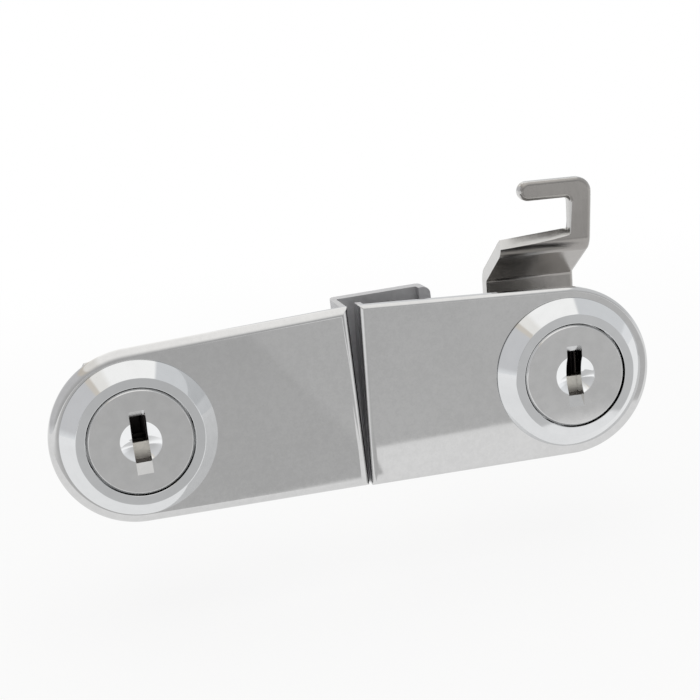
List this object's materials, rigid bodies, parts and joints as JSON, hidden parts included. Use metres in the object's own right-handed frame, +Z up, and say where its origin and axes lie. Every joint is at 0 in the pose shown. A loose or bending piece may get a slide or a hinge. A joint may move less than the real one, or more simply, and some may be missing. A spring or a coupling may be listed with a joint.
{
  "type": "glass door lock",
  "caption": "Lock for a pair of glass doors: folded plates clamped by keyed cylinders, a channel at the meeting edge and hooked cams that a quarter turn swings behind it.",
  "frame": {"origin": "where the left cylinder's axis meets the outer face of the glass", "axes": "+X from the left lock towards the right one, +Y back through the glass, away from the viewer, +Z up"},
  "size_m": [0.1249, 0.0403, 0.056],
  "materials": {
    "satin_nickel": "satin nickel plate on folded steel sheet",
    "polished_chrome": "polished chrome plate on a zinc casting",
    "satin_chrome": "satin chrome plate on the turned plug",
    "hook_steel": "nickel plate on pressed steel",
    "plated_steel": "bright zinc plate",
    "wafer_brass": "stamped brass",
    "spring_steel": "bare spring wire",
    "gasket": "matt"
  },
  "bodies": {
    "left_half": {"left_face_plate": "satin_nickel", "left_housing": "polished_chrome", "left_front_gasket": "gasket", "left_rear_gasket": "gasket", "left_clamp_washer": "plated_steel", "left_mounting_nut": "plated_steel"},
    "left_cylinder": {"left_plug": "satin_chrome", "left_wafers": "wafer_brass", "left_wafer_springs": "spring_steel", "left_stop_washer": "plated_steel", "left_hook": "hook_steel", "left_spring_washer": "plated_steel", "left_hook_screw": "plated_steel"},
    "right_half": {"right_face_plate": "satin_nickel", "right_housing": "polished_chrome", "right_front_gasket": "gasket", "right_rear_gasket": "gasket", "right_clamp_washer": "plated_steel", "right_mounting_nut": "plated_steel"},
    "right_cylinder": {"right_plug": "satin_chrome", "right_wafers": "wafer_brass", "right_wafer_springs": "spring_steel", "right_stop_washer": "plated_steel", "right_hook": "hook_steel", "right_spring_washer": "plated_steel", "right_hook_screw": "plated_steel"}
  },
  "joints": [
    {"name": "left_lock_turn", "type": "hinge", "parent": "left_half", "child": "left_cylinder", "pos_m": [0, 0, 0], "axis": [0, -1, 0], "range_deg": [0, 90]},
    {"name": "right_door_opening", "type": "slide", "parent": "left_half", "child": "right_half", "axis": [0, -1, 0], "range_m": [0, 0.06]},
    {"name": "right_lock_turn", "type": "hinge", "parent": "right_half", "child": "right_cylinder", "pos_m": [0.08952, 0, -0.00229], "axis": [0, -1, 0], "range_deg": [0, 90]}
  ]
}
